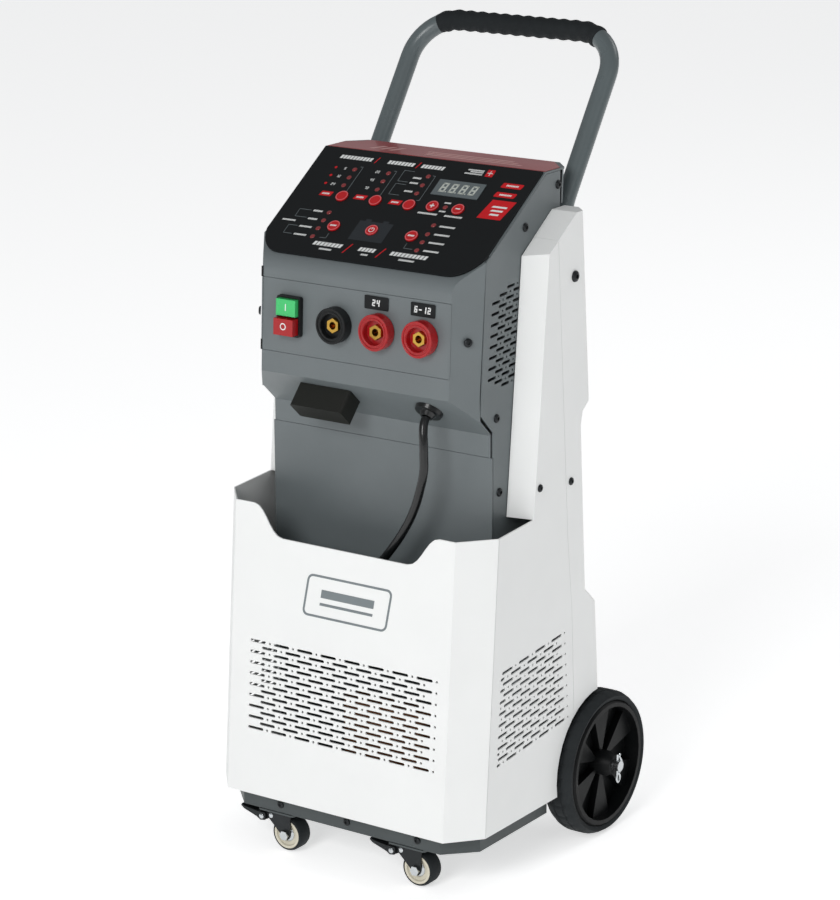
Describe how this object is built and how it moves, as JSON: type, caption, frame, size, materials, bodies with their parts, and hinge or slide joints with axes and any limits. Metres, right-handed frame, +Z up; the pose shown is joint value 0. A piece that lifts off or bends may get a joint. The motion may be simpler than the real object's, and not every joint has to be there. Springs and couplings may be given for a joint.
{
  "type": "trolley battery charger",
  "caption": "Upright battery charger and engine starter on wheels, with a sloping control head, quick-lock sockets, a cable bin and a bent push handle.",
  "frame": {"origin": "on the floor, under the middle of the machine without its lead", "axes": "+X to the right seen from the front, -Y to the front, +Z up"},
  "size_m": [0.398, 0.3733, 0.8728],
  "materials": {
    "painted_white": "fine-textured white powder coat",
    "painted_grey": "satin grey powder coat",
    "painted_dark": "satin dark grey powder coat",
    "printed_film": "printed polyester overlay, satin",
    "button_film": "domed printed button",
    "display_glass": "smoked acrylic window",
    "black_moulding": "fine-textured moulded plastic",
    "dark_moulding": "moulded polypropylene",
    "red_moulding": "glossy moulded plastic",
    "green_button": "glossy moulded plastic",
    "brass_contact": "turned brass",
    "black_rubber": "matt rubber",
    "handle_steel": "grey painted steel tube",
    "bright_steel": "zinc plated",
    "wheel_tyre": "solid rubber",
    "lamination_iron": "varnished laminations",
    "copper_winding": "taped copper winding",
    "heatsink_alloy": "extruded, as drawn",
    "circuit_board": "glass-epoxy board"
  },
  "bodies": {
    "chassis": {"base_tray": "painted_dark", "front_panel": "painted_white", "side_panel_right": "painted_white", "side_panel_left": "painted_white", "rear_cover": "painted_white", "bin_floor": "painted_grey", "head_cover": "painted_grey", "terminal_panel": "painted_grey", "lower_panel": "painted_grey", "side_plate_right": "painted_grey", "side_plate_left": "painted_grey", "control_membrane": "printed_film", "display_window": "display_glass", "socket_negative": "black_moulding", "socket_positive_24v": "red_moulding", "socket_positive_12v": "red_moulding", "insert_negative": "brass_contact", "insert_positive_24v": "brass_contact", "insert_positive_12v": "brass_contact", "switch_housing": "black_moulding", "clamp_block": "black_moulding", "cord_grommet": "black_rubber", "mains_lead": "black_rubber", "lead_hank": "black_rubber", "mains_plug": "black_rubber", "handle_tube": "handle_steel", "handle_grip": "black_rubber", "handle_bracket": "painted_dark", "rear_axle": "bright_steel", "axle_clip_right": "bright_steel", "axle_clip_left": "bright_steel", "transformer_core": "lamination_iron", "transformer_winding": "copper_winding", "fan_frame": "dark_moulding", "rectifier_heatsink": "heatsink_alloy", "control_board": "circuit_board", "start_relay": "black_moulding", "caster_plate_right": "bright_steel", "caster_plate_left": "bright_steel"},
    "rear_wheel_right": {"wheel_tyre_right": "wheel_tyre", "wheel_hub_right": "dark_moulding"},
    "rear_wheel_left": {"wheel_tyre_left": "wheel_tyre", "wheel_hub_left": "dark_moulding"},
    "switch_on_button": {"switch_on": "green_button"},
    "switch_off_button": {"switch_off": "red_moulding"},
    "cooling_fan": {"fan_rotor": "dark_moulding"},
    "caster_swivel_right": {"caster_fork_right": "bright_steel"},
    "caster_roller_right": {"caster_wheel_right": "wheel_tyre"},
    "caster_brake_right": {"brake_pedal_right": "black_moulding"},
    "caster_swivel_left": {"caster_fork_left": "bright_steel"},
    "caster_roller_left": {"caster_wheel_left": "wheel_tyre"},
    "caster_brake_left": {"brake_pedal_left": "black_moulding"},
    "key_charger": {"button_charger": "button_film"},
    "key_starter": {"button_starter": "button_film"},
    "key_tester": {"button_tester": "button_film"},
    "key_plus": {"button_plus": "button_film"},
    "key_minus": {"button_minus": "button_film"},
    "key_voltage": {"button_voltage": "button_film"},
    "key_power": {"button_power": "button_film"},
    "key_display": {"button_display": "button_film"}
  },
  "joints": [
    {"name": "rear_wheel_spin_right", "type": "hinge", "parent": "chassis", "child": "rear_wheel_right", "pos_m": [0.165, 0.073, 0.08], "axis": [1, 0, 0], "continuous": true},
    {"name": "caster_swivel_turn_right", "type": "hinge", "parent": "chassis", "child": "caster_swivel_right", "pos_m": [0.086, -0.1575, 0.04], "axis": [0, 0, 1], "continuous": true},
    {"name": "caster_wheel_spin_right", "type": "hinge", "parent": "caster_swivel_right", "child": "caster_roller_right", "pos_m": [0.095, -0.1575, 0.0191], "axis": [0, 1, 0], "continuous": true},
    {"name": "caster_brake_press_right", "type": "hinge", "parent": "caster_swivel_right", "child": "caster_brake_right", "pos_m": [0.066, -0.1575, 0.036], "axis": [0, -1, 0], "range_deg": [0, 12]},
    {"name": "rear_wheel_spin_left", "type": "hinge", "parent": "chassis", "child": "rear_wheel_left", "pos_m": [-0.165, 0.073, 0.08], "axis": [1, 0, 0], "continuous": true},
    {"name": "caster_swivel_turn_left", "type": "hinge", "parent": "chassis", "child": "caster_swivel_left", "pos_m": [-0.086, -0.1575, 0.04], "axis": [0, 0, 1], "continuous": true},
    {"name": "caster_wheel_spin_left", "type": "hinge", "parent": "caster_swivel_left", "child": "caster_roller_left", "pos_m": [-0.077, -0.1575, 0.0191], "axis": [0, 1, 0], "continuous": true},
    {"name": "caster_brake_press_left", "type": "hinge", "parent": "caster_swivel_left", "child": "caster_brake_left", "pos_m": [-0.106, -0.1575, 0.036], "axis": [0, -1, 0], "range_deg": [0, 12]},
    {"name": "switch_on_press", "type": "slide", "parent": "chassis", "child": "switch_on_button", "axis": [0, 1, 0], "range_m": [0, 0.004], "stiffness_N_per_m": 500, "springref_m": -0.002},
    {"name": "switch_off_press", "type": "slide", "parent": "chassis", "child": "switch_off_button", "axis": [0, 1, 0], "range_m": [0, 0.004], "stiffness_N_per_m": 500, "springref_m": -0.002},
    {"name": "key_press_charger", "type": "slide", "parent": "chassis", "child": "key_charger", "axis": [0, 0.5592, -0.829], "range_m": [0, 0.0007], "stiffness_N_per_m": 800, "springref_m": -0.0005},
    {"name": "key_press_starter", "type": "slide", "parent": "chassis", "child": "key_starter", "axis": [0, 0.5592, -0.829], "range_m": [0, 0.0007], "stiffness_N_per_m": 800, "springref_m": -0.0005},
    {"name": "key_press_tester", "type": "slide", "parent": "chassis", "child": "key_tester", "axis": [0, 0.5592, -0.829], "range_m": [0, 0.0007], "stiffness_N_per_m": 800, "springref_m": -0.0005},
    {"name": "key_press_plus", "type": "slide", "parent": "chassis", "child": "key_plus", "axis": [0, 0.5592, -0.829], "range_m": [0, 0.0007], "stiffness_N_per_m": 800, "springref_m": -0.0005},
    {"name": "key_press_minus", "type": "slide", "parent": "chassis", "child": "key_minus", "axis": [0, 0.5592, -0.829], "range_m": [0, 0.0007], "stiffness_N_per_m": 800, "springref_m": -0.0005},
    {"name": "key_press_voltage", "type": "slide", "parent": "chassis", "child": "key_voltage", "axis": [0, 0.5592, -0.829], "range_m": [0, 0.0007], "stiffness_N_per_m": 800, "springref_m": -0.0005},
    {"name": "key_press_power", "type": "slide", "parent": "chassis", "child": "key_power", "axis": [0, 0.5592, -0.829], "range_m": [0, 0.0007], "stiffness_N_per_m": 800, "springref_m": -0.0005},
    {"name": "key_press_display", "type": "slide", "parent": "chassis", "child": "key_display", "axis": [0, 0.5592, -0.829], "range_m": [0, 0.0007], "stiffness_N_per_m": 800, "springref_m": -0.0005},
    {"name": "fan_spin", "type": "hinge", "parent": "chassis", "child": "cooling_fan", "pos_m": [0, 0.0605, 0.178], "axis": [0, 1, 0], "continuous": true}
  ]
}
